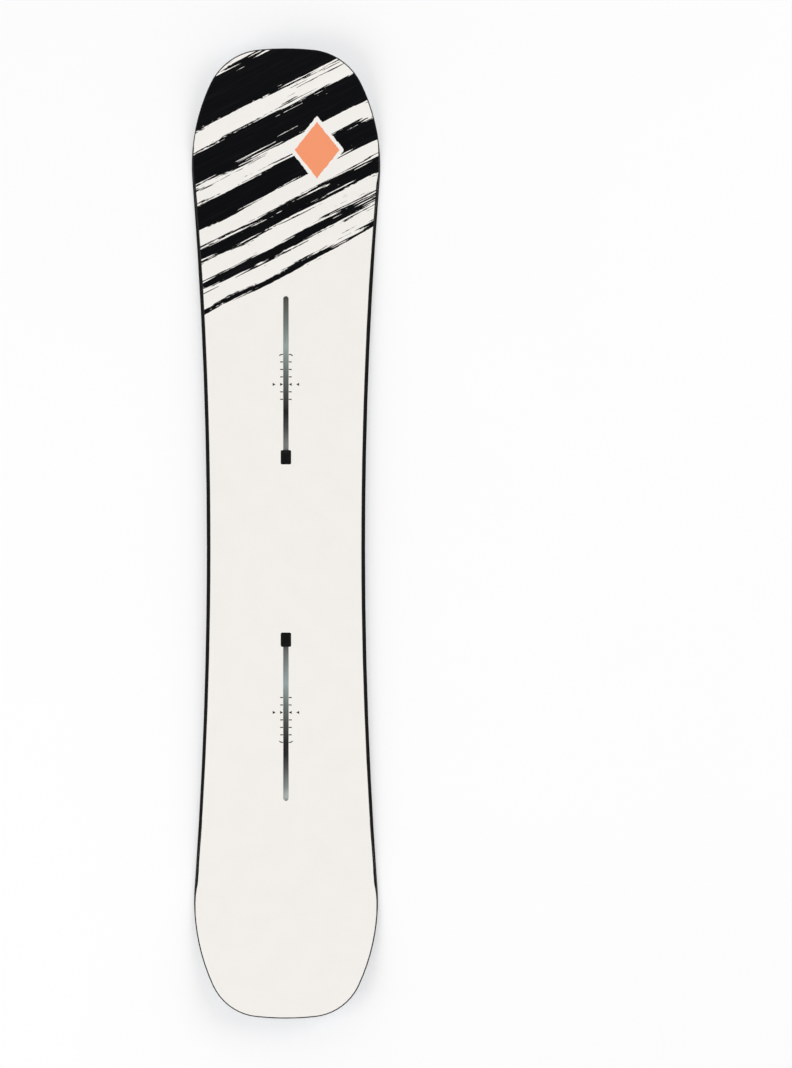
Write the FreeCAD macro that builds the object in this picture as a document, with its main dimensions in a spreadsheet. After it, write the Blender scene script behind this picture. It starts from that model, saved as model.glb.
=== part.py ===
import FreeCAD, Part
import math
import os

import Sketcher
from FreeCAD import Placement, Rotation, Vector

# A wide freestyle snowboard deck as a pressed sandwich of separate layers, with two binding channels.
# Frame: +Z up through the topsheet, +Y towards the nose, +X towards the toe side.
# The origin is under the middle of the length and width, on the ground that the deck rests on.
# "Level" means the height above the running surface, measured square to it.
# "Inset" means the distance inwards from the outline of the deck, measured in plan.

sizes = {
    # outline in plan
    "board_length": 1620.0,
    "waist_width": 265.0,
    "waist_setback": 25.0,
    "sidecut_radius": 7795.0,
    "nose_run": 218.2,
    "nose_shoulder_radius": 307.6,
    "nose_corner_radius": 99.5,
    "nose_end_radius": 462.2,
    "tail_run": 218.34,
    "tail_shoulder_radius": 329.15,
    "tail_corner_radius": 91.13,
    "tail_end_radius": 464.65,
    # camber and the turned-up ends
    "camber": 8.0,
    "nose_contact": 220.0,
    "nose_bend_radius": 509.0,
    "tail_contact": 220.0,
    "tail_bend_radius": 549.0,
    # layers
    "base_thick": 1.3,
    "flange_thick": 0.55,
    "foil_thick": 0.25,
    "lower_glass_thick": 0.6,
    "core_thick": 6.6,
    "core_end_thick": 2.2,
    "nose_taper_run": 175.0,
    "tail_taper_run": 125.0,
    "upper_glass_thick": 0.7,
    "topsheet_thick": 0.5,
    # rim
    "edge_width": 2.0,
    "edge_flange_reach": 8.0,
    "edge_ledge": 0.8,
    "sidewall_reach": 11.0,
    "sidewall_nose_end": 225.0,
    "sidewall_tail_end": 235.0,
    "bevel_start": 0.5,
    "bevel_angle": 37.5,
    "bevel_end_inset": 220.0,
    # core
    "outer_stringer_waist": 10.5,
    # binding channels
    "channel_width": 30.0,
    "channel_end_wall": 12.0,
    "channel_floor": 1.2,
    "strip_thick": 0.4,
    "strip_gap": 0.2,
    "cavity_width": 14.0,
    "cavity_depth": 3.0,
    "rail_thick": 1.2,
    "rail_width": 7.5,
    "rail_end_gap": 1.5,
    "slot_width": 9.0,
    "slot_reach": 422.3,
    # plugs
    "plug_start": 140.8,
    "plug_length": 23.7,
    "plug_width": 17.2,
    "plug_corner": 2.5,
    "plug_proud": 0.35,
    "plug_edge_round": 0.5,
    "plug_stem_length": 16.1,
    "plug_stem_shift": 1.65,
    "plug_stem_width": 13.4,
    "plug_gap": 0.15,
    "port_gap": 0.3,
    "plug_lift_gap": 0.2,
    "slot_overrun": 0.2,
}

doc = FreeCAD.newDocument("Snowboard")
sheet = doc.addObject("Spreadsheet::Sheet", "Sizes")
for row, (alias, number) in enumerate(sizes.items(), start=1):
    sheet.set(f"A{row}", alias)
    sheet.set(f"B{row}", str(number))
    sheet.setAlias(f"B{row}", alias)
doc.recompute()


def value(alias):
    return float(sheet.get(alias))


def number(expression):
    """The value of a sheet expression, for the places that a sketch is first drawn at."""
    return float(sheet.evalExpression(expression.replace("Sizes.", "")))


def cell(alias):
    return f"Sizes.{alias}"


def total(*aliases):
    """The sheet expression for the sum of some cells."""
    return "(" + " + ".join(cell(alias) for alias in aliases) + ")"


def sum_of(*aliases):
    return sum(value(alias) for alias in aliases)


# levels, each as the list of cells that add up to it
flange_level = ("base_thick",)
foil_level = flange_level + ("flange_thick",)
glass_level = foil_level + ("foil_thick",)
core_level = glass_level + ("lower_glass_thick",)
strip_level = core_level + ("channel_floor",)
cavity_level = strip_level + ("strip_thick",)
rail_level = cavity_level + ("cavity_depth",)
lip_level = rail_level + ("rail_thick",)
core_top_level = core_level + ("core_thick",)
core_end_level = core_level + ("core_end_thick",)
top_level = core_top_level + ("upper_glass_thick", "topsheet_thick")

clear_margin = 40.0  # how far the cutting solids reach past the deck
lid_height = "(Sizes.board_length / 10)"  # well above the tips
column_height = f"({lid_height} - {clear_margin})"
nodes = []


# ---- sketches ---------------------------------------------------------------------------------

def new_sketch(name, upright=False):
    """A sketch in plan, or an upright one seen from the toe side with Y across and Z up."""
    sketch = doc.addObject("Sketcher::SketchObject", name)
    if upright:
        sketch.Placement = Placement(Vector(), Rotation(Vector(1, 1, 1), 120))
    return sketch


def bind(sketch, constraint, expression):
    index = sketch.addConstraint(constraint)
    sketch.setExpression(f"Constraints[{index}]", expression)


def line(sketch, start, end):
    return sketch.addGeometry(Part.LineSegment(Vector(*start, 0), Vector(*end, 0)))


def draw_arc(sketch, spec, flip_x=False, flip_y=False, about=0.0):
    """Adds an arc, mirrored as asked. Returns its number and those of its first and last ends."""
    centre, radius, start, end = spec
    x, y = centre.x, centre.y
    first, last = 1, 2
    if flip_x:
        x = 2 * about - x
        start, end = math.pi - end, math.pi - start
        first, last = last, first
    if flip_y:
        y = -y
        start, end = -end, -start
        first, last = last, first
    circle = Part.Circle(Vector(x, y, 0), Vector(0, 0, 1), radius)
    number = sketch.addGeometry(Part.ArcOfCircle(circle, start, end))
    return number, (number, first), (number, last)


def tie_x(sketch, point, number, expression):
    bind(sketch, Sketcher.Constraint("DistanceX", -1, 1, *point, number), expression)


def tie_y(sketch, point, number, expression):
    bind(sketch, Sketcher.Constraint("DistanceY", -1, 1, *point, number), expression)


def tie_radius(sketch, number, radius, expression):
    bind(sketch, Sketcher.Constraint("Radius", number, radius), expression)


def tangent(sketch, first, second):
    """Joins two ends so that one line runs on smoothly from the other."""
    sketch.addConstraint(Sketcher.Constraint("Tangent", *first, *second))


def coincident(sketch, first, second):
    sketch.addConstraint(Sketcher.Constraint("Coincident", *first, *second))


def angle_of(vector):
    return math.atan2(vector.y, vector.x)


# ---- the outline in plan ----------------------------------------------------------------------

def end_arcs(prefix, waist_to_middle):
    """The shoulder, corner and end arcs of one quarter, on the toe side with the end facing up."""
    reach = value("board_length") / 2
    junction = reach - value(f"{prefix}_run")
    shoulder, corner, end = (value(f"{prefix}_{part}_radius") for part in ("shoulder", "corner", "end"))
    lean = math.asin((junction + waist_to_middle) / value("sidecut_radius"))
    side_x = value("waist_width") / 2 + value("sidecut_radius") * (1 - math.cos(lean))
    shoulder_c = Vector(side_x - shoulder * math.cos(lean), junction + shoulder * math.sin(lean))
    end_c = Vector(0, reach - end)
    # the corner's centre is where two circles about the other two centres cross
    near, far = shoulder - corner, end - corner
    across = shoulder_c - end_c
    along = (far**2 - near**2 + across.Length**2) / (2 * across.Length)
    unit = across / across.Length
    corner_c = end_c + unit * along + Vector(unit.y, -unit.x) * math.sqrt(far**2 - along**2)
    join, turn = angle_of(corner_c - shoulder_c), angle_of(corner_c - end_c)
    return (
        (shoulder_c, shoulder, -lean, join),
        (corner_c, corner, join, turn),
        (end_c, end, turn, math.pi - turn),
    )


def draw_end(sketch, prefix, flip, side_ends):
    """Draws the nose, or with flip the tail, joined to the ends of the two sidecut arcs."""
    sign = -1 if flip else 1
    shoulder, corner, end = end_arcs(prefix, sign * value("waist_setback"))
    tip, tip_toe, tip_heel = draw_arc(sketch, end, flip_y=flip)
    tie_radius(sketch, tip, end[1], cell(f"{prefix}_end_radius"))
    sketch.addConstraint(Sketcher.Constraint("PointOnObject", tip, 3, -2))
    centre_y = f"{sign} * (Sizes.board_length / 2 - Sizes.{prefix}_end_radius)"
    tie_y(sketch, (tip, 3), sign * end[0].y, centre_y)
    junction = value("board_length") / 2 - value(f"{prefix}_run")
    junction_y = f"{sign} * (Sizes.board_length / 2 - Sizes.{prefix}_run)"
    arcs = []
    for flip_x, side_end, tip_end in ((False, side_ends[0], tip_toe), (True, side_ends[1], tip_heel)):
        low, low_first, low_last = draw_arc(sketch, shoulder, flip_x, flip)
        high, high_first, high_last = draw_arc(sketch, corner, flip_x, flip)
        tangent(sketch, side_end, low_first)
        tangent(sketch, low_last, high_first)
        tangent(sketch, high_last, tip_end)
        tie_y(sketch, low_first, sign * junction, junction_y)
        arcs.append((low, high))
    tie_radius(sketch, arcs[0][0], shoulder[1], cell(f"{prefix}_shoulder_radius"))
    tie_radius(sketch, arcs[0][1], corner[1], cell(f"{prefix}_corner_radius"))
    sketch.addConstraint(Sketcher.Constraint("Equal", arcs[0][0], arcs[1][0]))
    sketch.addConstraint(Sketcher.Constraint("Equal", arcs[0][1], arcs[1][1]))


def draw_outline():
    sketch = new_sketch("outline")
    radius = value("sidecut_radius")
    setback = value("waist_setback")
    centre = Vector(value("waist_width") / 2 + radius, -setback)
    to_nose = value("board_length") / 2 - value("nose_run") + setback
    to_tail = value("board_length") / 2 - value("tail_run") - setback
    side = (centre, radius, math.pi - math.asin(to_nose / radius), math.pi + math.asin(to_tail / radius))
    toe, toe_nose, toe_tail = draw_arc(sketch, side)
    heel, heel_nose, heel_tail = draw_arc(sketch, side, flip_x=True)
    for number, sign in ((toe, 1), (heel, -1)):
        tie_x(sketch, (number, 3), sign * centre.x, f"{sign} * (Sizes.waist_width / 2 + Sizes.sidecut_radius)")
        tie_y(sketch, (number, 3), centre.y, "-Sizes.waist_setback")
    tie_radius(sketch, toe, radius, cell("sidecut_radius"))
    sketch.addConstraint(Sketcher.Constraint("Equal", toe, heel))
    draw_end(sketch, "nose", False, (toe_nose, heel_nose))
    draw_end(sketch, "tail", True, (toe_tail, heel_tail))
    return sketch


# ---- the side profile: camber between the contact lines, ends bent up beyond them --------------

def contact_run(prefix, sign):
    """The expression for how far an end's contact line lies from the waist line."""
    return f"(Sizes.board_length / 2 - Sizes.{prefix}_contact + {sign} * Sizes.waist_setback)"


def camber_radius(prefix, sign):
    """The expression for the camber arc's radius: it meets the end's bend and the crown smoothly."""
    run = contact_run(prefix, sign)
    return f"(({run}^2 + Sizes.camber^2) / (2 * Sizes.camber) - Sizes.{prefix}_bend_radius)"


def draw_half_profile(sketch, prefix, flip, level, end_level):
    """One half of a line at a level, from the crown out past the end. Returns its crown and far end."""
    sign = -1 if flip else 1
    waist_y = -value("waist_setback")
    run_text, radius_text = contact_run(prefix, sign), camber_radius(prefix, sign)
    run, radius = number(run_text), number(radius_text)
    flat_run = run - value(f"{prefix}_taper_run")
    height, end_height = sum_of(*level), sum_of(*end_level)
    bend = value(f"{prefix}_bend_radius") - end_height
    crown_c = Vector(waist_y, value("camber") - radius)
    bend_c = Vector(waist_y + run, value(f"{prefix}_bend_radius"))
    far = math.asin((value("board_length") / 2 + clear_margin - (run + sign * waist_y)) / bend)

    if level:
        # a taper arc leads from the thick middle down to the thin end
        flat = math.acos(flat_run / (radius + height))
        unit = Vector(math.cos(flat), math.sin(flat))
        start = crown_c + unit * (radius + height)
        offset = start - bend_c
        taper = (offset.Length**2 - bend**2) / (2 * (bend + offset.dot(unit)))
        taper_c = start - unit * taper
        join = angle_of(bend_c - taper_c)
    else:
        flat = join = angle_of(bend_c - crown_c)

    camber_spec = (crown_c, radius + height, flat, math.pi / 2)
    bend_spec = (bend_c, bend, join - math.pi, far - math.pi / 2)
    camber_arc, camber_out, crown = draw_arc(sketch, camber_spec, flip, about=waist_y)
    bend_arc, bend_in, far_end = draw_arc(sketch, bend_spec, flip, about=waist_y)
    tie_x(sketch, (camber_arc, 3), waist_y, "-Sizes.waist_setback")
    contact = f"{sign} * (Sizes.board_length / 2 - Sizes.{prefix}_contact)"
    tie_x(sketch, (bend_arc, 3), sign * (run + sign * waist_y), contact)
    tie_y(sketch, (bend_arc, 3), bend_c.y, cell(f"{prefix}_bend_radius"))
    if level:
        taper_arc, taper_out, taper_in = draw_arc(sketch, (taper_c, taper, join, flat), flip, about=waist_y)
        tangent(sketch, camber_out, taper_in)
        tangent(sketch, taper_out, bend_in)
        flat_x = f"-Sizes.waist_setback + {sign} * ({run_text} - Sizes.{prefix}_taper_run)"
        tie_x(sketch, camber_out, waist_y + sign * flat_run, flat_x)
        tie_radius(sketch, camber_arc, radius + height, f"{radius_text} + {total(*level)}")
        tie_radius(sketch, bend_arc, bend, f"Sizes.{prefix}_bend_radius - {total(*end_level)}")
    else:
        tangent(sketch, camber_out, bend_in)
        tie_radius(sketch, bend_arc, bend, cell(f"{prefix}_bend_radius"))
    edge_x = f"{sign} * (Sizes.board_length / 2 + {clear_margin})"
    tie_x(sketch, far_end, sign * (value("board_length") / 2 + clear_margin), edge_x)
    return crown, far_end


def draw_profile(name, level=(), end_level=()):
    """A closed outline of all that lies above a level, which is lower at the ends where they are thin."""
    sketch = new_sketch(name, upright=True)
    crown, nose_end = draw_half_profile(sketch, "nose", False, level, end_level)
    tail_crown, tail_end = draw_half_profile(sketch, "tail", True, level, end_level)
    tie_x(sketch, crown, -value("waist_setback"), "-Sizes.waist_setback")
    crown_text = "Sizes.camber" + (f" + {total(*level)}" if level else "")
    tie_y(sketch, crown, value("camber") + sum_of(*level), crown_text)
    coincident(sketch, crown, tail_crown)
    reach = value("board_length") / 2 + clear_margin
    top = number(lid_height)
    lid = line(sketch, (reach, top), (-reach, top))
    for point, sign, end in ((1, 1, nose_end), (2, -1, tail_end)):
        tie_x(sketch, (lid, point), sign * reach, f"{sign} * (Sizes.board_length / 2 + {clear_margin})")
        tie_y(sketch, (lid, point), top, lid_height)
        wall = line(sketch, (sign * reach, top / 2), (sign * reach, top))
        coincident(sketch, (wall, 1), end)
        coincident(sketch, (wall, 2), (lid, point))
    return sketch


# ---- solids that cut the layers out ------------------------------------------------------------

def offset(source, aliases):
    shrunk = doc.addObject("Part::Offset2D", source.Name + "_inset")
    shrunk.Source = source
    shrunk.setExpression("Value", f"-{total(*aliases)}")
    return shrunk


def extrude(source, name, direction, forward, back):
    solid = doc.addObject("Part::Extrusion", name)
    solid.Base = source
    solid.DirMode = "Custom"
    solid.Dir = Vector(*direction)
    solid.Solid = True
    solid.setExpression("LengthFwd", forward)
    solid.setExpression("LengthRev", back)
    return solid


def above(profile, aliases=()):
    """Everything above the profile, raised by the given cells."""
    source = offset(profile, aliases) if aliases else profile
    half = f"Sizes.waist_width / 2 + 2 * {clear_margin}"
    return extrude(source, "above", (1, 0, 0), half, half)


def column(sketch, aliases=()):
    """The full-height column over a plan outline, drawn in by the given cells."""
    source = offset(sketch, aliases) if aliases else sketch
    return extrude(source, "column", (0, 0, 1), column_height, f"{clear_margin}")


def box(name, low, high):
    """A box between two corners given as expressions."""
    block = doc.addObject("Part::Box", name)
    for axis, size_name, start, end in zip("xyz", ("Length", "Width", "Height"), low, high):
        block.setExpression(size_name, f"({end}) - ({start})")
        block.setExpression(f"Placement.Base.{axis}", start)
    return block


def common(name, first, second):
    both = doc.addObject("Part::Common", name)
    both.Base = first
    both.Tool = second
    return both


def cut(name, base, *tools):
    for tool in tools:
        rest = doc.addObject("Part::Cut", name if tool is tools[-1] else f"{name}_step")
        rest.Base = base
        rest.Tool = tool
        base = rest
    return base


def node(result):
    """Marks a finished sub-part, whose label names its file."""
    nodes.append(result)
    return result


def halves(name, whole):
    for side in ("heel", "toe"):
        node(common(f"{name}_{side}", whole, side_space(side)))


# ---- places worked out from the sheet, as expressions -------------------------------------------

far_x = f"(Sizes.waist_width / 2 + {clear_margin})"
far_y = f"(Sizes.board_length / 2 + {clear_margin})"
low_z = f"-{clear_margin}"
high_z = column_height
plug_centre = "(Sizes.plug_start + Sizes.plug_length / 2)"
stem_centre = f"({plug_centre} + Sizes.plug_stem_shift)"
port_half = "(Sizes.plug_stem_length / 2 + Sizes.port_gap)"
slot_inner = f"({stem_centre} - {port_half} - Sizes.slot_overrun)"
slot_outer = "(Sizes.slot_reach - Sizes.slot_width / 2)"


def side_space(side, inner="0", outer=far_x, near=f"-{far_y}", far=far_y):
    """A tall box on one side of the centreline, between two distances from it."""
    low, high = (inner, outer) if side == "toe" else (f"-({outer})", f"-({inner})")
    return box(f"{side}_space", (low, near, low_z), (high, far, high_z))


def along(sign, near, far):
    """The low and high y of a stretch that starts and ends at distances from the waist line."""
    first = f"-Sizes.waist_setback + {sign} * ({near})"
    second = f"-Sizes.waist_setback + {sign} * ({far})"
    return (first, second) if sign > 0 else (second, first)


def channel_space(name, sign, half_width, near, far):
    start, end = along(sign, near, far)
    return box(name, (f"-({half_width})", start, low_z), (half_width, end, high_z))


def draw_loop(sketch, corners, radius_text):
    """A convex loop of equal round corners joined by lines. A corner is (x, y, start, end degrees)."""
    radius = number(radius_text)
    arcs = []
    for x_text, y_text, start, end in corners:
        x, y = number(x_text), number(y_text)
        spec = (Vector(x, y), radius, math.radians(start), math.radians(end))
        turn, first, last = draw_arc(sketch, spec)
        if x_text == "0":
            sketch.addConstraint(Sketcher.Constraint("PointOnObject", turn, 3, -2))
        else:
            tie_x(sketch, (turn, 3), x, x_text)
        if y_text == "0":
            sketch.addConstraint(Sketcher.Constraint("PointOnObject", turn, 3, -1))
        else:
            tie_y(sketch, (turn, 3), y, y_text)
        end_point = (x + radius * math.cos(math.radians(end)), y + radius * math.sin(math.radians(end)))
        start_point = (x + radius * math.cos(math.radians(start)), y + radius * math.sin(math.radians(start)))
        arcs.append((turn, first, last, start_point, end_point))
    tie_radius(sketch, arcs[0][0], radius, radius_text)
    for this, following in zip(arcs, arcs[1:] + arcs[:1]):
        side = line(sketch, this[4], following[3])
        tangent(sketch, this[2], (side, 1))
        tangent(sketch, (side, 2), following[1])
        if following is not arcs[0]:
            sketch.addConstraint(Sketcher.Constraint("Equal", arcs[0][0], following[0]))


def draw_pad(sketch, centre_text, length_text, width_text, corner_text):
    """A rectangle with round corners, its length along Y."""
    x = f"({width_text}) / 2 - ({corner_text})"
    y = f"(({length_text}) / 2 - ({corner_text}))"
    low, high = f"{centre_text} - {y}", f"{centre_text} + {y}"
    corners = ((x, high, 0, 90), (f"-({x})", high, 90, 180), (f"-({x})", low, 180, 270), (x, low, 270, 360))
    draw_loop(sketch, corners, corner_text)


# ---- the layers --------------------------------------------------------------------------------

outline = draw_outline()
underside = draw_profile("underside")
core_top = draw_profile("core_top", core_top_level, core_end_level)

over_ground = above(underside)
over_base = above(underside, flange_level)
over_flange = above(underside, foil_level)
over_foil = above(underside, glass_level)
over_lower_glass = above(underside, core_level)
over_core = above(core_top)
over_upper_glass = above(core_top, ("upper_glass_thick",))
over_topsheet = above(core_top, ("upper_glass_thick", "topsheet_thick"))

inside_outline = column(outline)
inside_ledge = column(outline, ("edge_ledge",))
inside_edge = column(outline, ("edge_width",))
inside_flange = column(outline, ("edge_flange_reach",))
inside_sidewall = column(outline, ("sidewall_reach",))


def layer(name, over_low, over_high, inside):
    """What lies between two levels and inside a column."""
    return common(name, cut("between", over_low, over_high), inside)


def toe_bevel():
    """The cone that slants the toe side from the foot of the sidewall up to the topsheet."""
    half = "(Sizes.board_length / 2 - Sizes.bevel_end_inset)"
    depth = f"(Sizes.sidecut_radius - sqrt(Sizes.sidecut_radius^2 - {half}^2) + Sizes.edge_ledge)"
    sag = f"sqrt({depth}^2 + Sizes.camber^2)"
    radius = f"(({half}^2 + {sag}^2) / (2 * {sag}))"
    tilt = f"atan(Sizes.camber / {depth})"
    spread = f"tan(Sizes.bevel_angle * 1deg + {tilt})"
    below, over = total(*core_level), f"(2 * {total(*top_level)})"
    cone = doc.addObject("Part::Cone", "toe_bevel")
    cone.setExpression("Radius1", f"{radius} - {below} * {spread}")
    cone.setExpression("Radius2", f"{radius} + {over} * {spread}")
    cone.setExpression("Height", f"{below} + {over}")
    cone.Placement = Placement(Vector(), Rotation(Vector(0, 1, 0), 1))
    waist_x = "(Sizes.waist_width / 2 - Sizes.edge_ledge)"
    waist_z = f"(Sizes.camber + {total(*core_level)} + Sizes.bevel_start)"
    cone.setExpression("Placement.Base.x", f"{waist_x} + {radius} * cos({tilt}) - {below} * sin({tilt})")
    cone.setExpression("Placement.Base.y", "-Sizes.waist_setback")
    cone.setExpression("Placement.Base.z", f"{waist_z} - {radius} * sin({tilt}) - {below} * cos({tilt})")
    cone.setExpression("Placement.Rotation.Angle", tilt)
    return cone


def heel_bevel(source):
    mirror = doc.addObject("Part::Mirroring", "heel_bevel")
    mirror.Source = source
    mirror.Normal = Vector(1, 0, 0)
    return mirror


toe_cutter = toe_bevel()
bevels = (toe_cutter, heel_bevel(toe_cutter))

base_sheet = node(layer("base_sheet", over_ground, over_base, inside_edge))
steel = cut("steel", layer("steel_blank", over_ground, over_flange, inside_outline), inside_flange, base_sheet)
halves("edge", steel)
foil = cut("foil", layer("foil_blank", over_flange, over_foil, inside_ledge), inside_flange)
halves("edge_foil", foil)
node(layer("lower_glass_inner", over_base, over_foil, inside_flange))
node(layer("lower_glass_outer", over_foil, over_lower_glass, inside_ledge))

core_blank = layer("core_blank", over_lower_glass, over_core, inside_sidewall)
rim_blank = layer("rim_blank", over_lower_glass, over_core, inside_ledge)
rim = cut("rim", rim_blank, inside_sidewall, *bevels)
nose_joint = "(Sizes.board_length / 2 - Sizes.sidewall_nose_end)"
tail_joint = "-(Sizes.board_length / 2 - Sizes.sidewall_tail_end)"
nose_space = box("nose_space", (f"-{far_x}", nose_joint, low_z), (far_x, far_y, high_z))
tail_space = box("tail_space", (f"-{far_x}", f"-{far_y}", low_z), (far_x, tail_joint, high_z))
node(common("nose_spacer", rim, nose_space))
node(common("tail_spacer", rim, tail_space))
for side in ("heel", "toe"):
    node(common(f"sidewall_{side}", rim, side_space(side, near=tail_joint, far=nose_joint)))


# ---- the binding channels ----------------------------------------------------------------------

over_strip_seat = above(underside, strip_level)
over_strip = above(underside, cavity_level)
over_cavity = above(underside, rail_level)
over_rails = above(underside, lip_level)


def build_channel(prefix, sign):
    """One T-slot channel. Returns its block and the two cuts that open it through the layers above."""
    def waist_to(distance):
        return f"(-Sizes.waist_setback + {sign} * {distance})"

    slot_sketch = new_sketch(f"{prefix}_slot")
    outer, inner = waist_to(slot_outer), waist_to(slot_inner)
    far, near = (outer, inner) if sign > 0 else (inner, outer)
    draw_loop(slot_sketch, (("0", far, 0, 180), ("0", near, 180, 360)), "Sizes.slot_width / 2")
    slot = common(f"{prefix}_slot_cut", column(slot_sketch), over_strip)

    recess_sketch = new_sketch(f"{prefix}_recess")
    recess_size = [f"Sizes.{size} + 2 * Sizes.plug_gap" for size in ("plug_length", "plug_width")]
    draw_pad(recess_sketch, waist_to(plug_centre), *recess_size, "Sizes.plug_corner + Sizes.plug_gap")
    recess = common(f"{prefix}_recess_cut", column(recess_sketch), over_rails)

    port_sketch = new_sketch(f"{prefix}_port")
    port_size = [f"Sizes.{size} + 2 * Sizes.port_gap" for size in ("plug_stem_length", "plug_stem_width")]
    draw_pad(port_sketch, waist_to(stem_centre), *port_size, "Sizes.plug_corner + Sizes.port_gap")
    port = common(f"{prefix}_port_cut", column(port_sketch), over_strip_seat)

    port_start = f"({stem_centre} - {port_half})"
    cavity_space = channel_space("cavity_space", sign, "Sizes.cavity_width / 2", port_start, "Sizes.slot_reach")
    cavity = layer(f"{prefix}_cavity", over_strip_seat, over_cavity, cavity_space)
    strip_space = channel_space(
        "strip_space", sign, "Sizes.cavity_width / 2 - Sizes.strip_gap",
        f"{port_start} + Sizes.strip_gap", "Sizes.slot_reach - Sizes.strip_gap")
    node(layer(f"{prefix}_channel_floor_strip", over_strip_seat, over_strip, strip_space))

    rails = []
    rail_start, rail_end = along(sign, f"{stem_centre} + {port_half} + Sizes.rail_end_gap", slot_outer)
    for side in ("heel", "toe"):
        inner_x, outer_x = "Sizes.slot_width / 2", "Sizes.slot_width / 2 + Sizes.rail_width"
        space = side_space(side, inner_x, outer_x, rail_start, rail_end)
        rails.append(node(layer(f"{prefix}_channel_rail_{side}", over_cavity, over_rails, space)))

    block_space = channel_space(
        "block_space", sign, "Sizes.channel_width / 2",
        "Sizes.plug_start - Sizes.channel_end_wall", "Sizes.slot_reach + Sizes.channel_end_wall")
    block = common(f"{prefix}_channel_block", core_blank, block_space)
    node(cut(f"{prefix}_channel_housing", block, cavity, *rails, slot, port, recess))
    return block, slot, recess


def local_height(prefix, sign):
    """The height of the running surface under the middle of a plug."""
    radius = camber_radius(prefix, sign)
    return f"(Sizes.camber - {radius} + sqrt({radius}^2 - {plug_centre}^2))"


def pad_feature(body, name, length_text, centre_text, size_texts, base_text):
    """A pad with round corners whose sketch lies above the body's own base plane."""
    plane = next(part for part in body.Origin.OriginFeatures if part.Role == "XY_Plane")
    sketch = body.newObject("Sketcher::SketchObject", f"{name}_sketch")
    sketch.AttachmentSupport = (plane, [""])
    sketch.MapMode = "FlatFace"
    sketch.setExpression("AttachmentOffset.Base.z", base_text)
    draw_pad(sketch, centre_text, *size_texts)
    pad = body.newObject("PartDesign::Pad", name)
    pad.Profile = sketch
    pad.setExpression("Length", length_text)
    return pad


def build_plug(prefix, channel, sign):
    body = doc.addObject("PartDesign::Body", f"{prefix}_plug")
    seat = f"{total(*lip_level)} + Sizes.plug_lift_gap"
    stem_base = f"{total(*cavity_level)} + Sizes.plug_lift_gap"
    stem_height = total("cavity_depth", "rail_thick")
    head_height = f"{total(*top_level)} + Sizes.plug_proud - ({seat})"
    stem_size = ("Sizes.plug_stem_length", "Sizes.plug_stem_width", "Sizes.plug_corner")
    head_size = ("Sizes.plug_length", "Sizes.plug_width", "Sizes.plug_corner")
    pad_feature(body, f"{prefix}_stem", stem_height, f"{sign} * Sizes.plug_stem_shift", stem_size, stem_base)
    head = pad_feature(body, f"{prefix}_head", head_height, "0", head_size, seat)
    doc.recompute()
    top = head.Shape.BoundBox.ZMax
    rim_edges = [
        f"Edge{index}"
        for index, edge in enumerate(head.Shape.Edges, start=1)
        if min(vertex.Z for vertex in edge.Vertexes) > top - 0.01
    ]
    rounding = body.newObject("PartDesign::Fillet", f"{prefix}_rounding")
    rounding.Base = (head, rim_edges)
    rounding.setExpression("Radius", "Sizes.plug_edge_round")
    body.Tip = rounding
    body.setExpression("Placement.Base.y", f"-Sizes.waist_setback + {sign} * {plug_centre}")
    body.setExpression("Placement.Base.z", local_height(channel, sign))
    node(body)


front_block, front_slot, front_recess = build_channel("front", 1)
rear_block, rear_slot, rear_recess = build_channel("rear", -1)
openings = (front_slot, front_recess, rear_slot, rear_recess)
build_plug("front", "nose", 1)
build_plug("rear", "tail", -1)


# ---- the wood core -----------------------------------------------------------------------------

centre_space = box(
    "centre_space", ("-Sizes.channel_width / 2", f"-{far_y}", low_z), ("Sizes.channel_width / 2", far_y, high_z))
centre_stringer = common("centre_stringer", core_blank, centre_space)
node(cut("core_stringer_centre", centre_stringer, front_block, rear_block))
stringers_a_side = 5
outer_strip_x = "(Sizes.waist_width / 2 - Sizes.sidewall_reach - Sizes.outer_stringer_waist)"
stringer_width = f"(({outer_strip_x} - Sizes.channel_width / 2) / {stringers_a_side - 1})"
for side in ("heel", "toe"):
    for place in range(1, stringers_a_side + 1):
        inner_x = f"(Sizes.channel_width / 2 + {place - 1} * {stringer_width})"
        outer_x = far_x if place == stringers_a_side else f"{inner_x} + {stringer_width}"
        node(common(f"core_stringer_{side}_{place}", core_blank, side_space(side, inner_x, outer_x)))


# ---- the upper layers --------------------------------------------------------------------------

upper_glass = layer("upper_glass_blank", over_core, over_upper_glass, inside_ledge)
node(cut("upper_glass", upper_glass, *bevels, *openings))
topsheet = layer("topsheet_blank", over_upper_glass, over_topsheet, inside_ledge)
node(cut("topsheet", topsheet, *bevels, *openings))

doc.recompute()
for item in doc.Objects:
    if "Invalid" in item.State or "Error" in item.State:
        raise RuntimeError(f"{item.Label} failed to build")
for item in nodes:
    if item.Shape.isNull() or not item.Shape.isValid() or not item.Shape.Solids:
        raise RuntimeError(f"{item.Label} has no valid solid")

os.makedirs("parts", exist_ok=True)
for item in nodes:
    item.Shape.exportStep(f"parts/{item.Label}.step")
print(f"{len(nodes)} sub-parts written")
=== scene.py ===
import math

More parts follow.
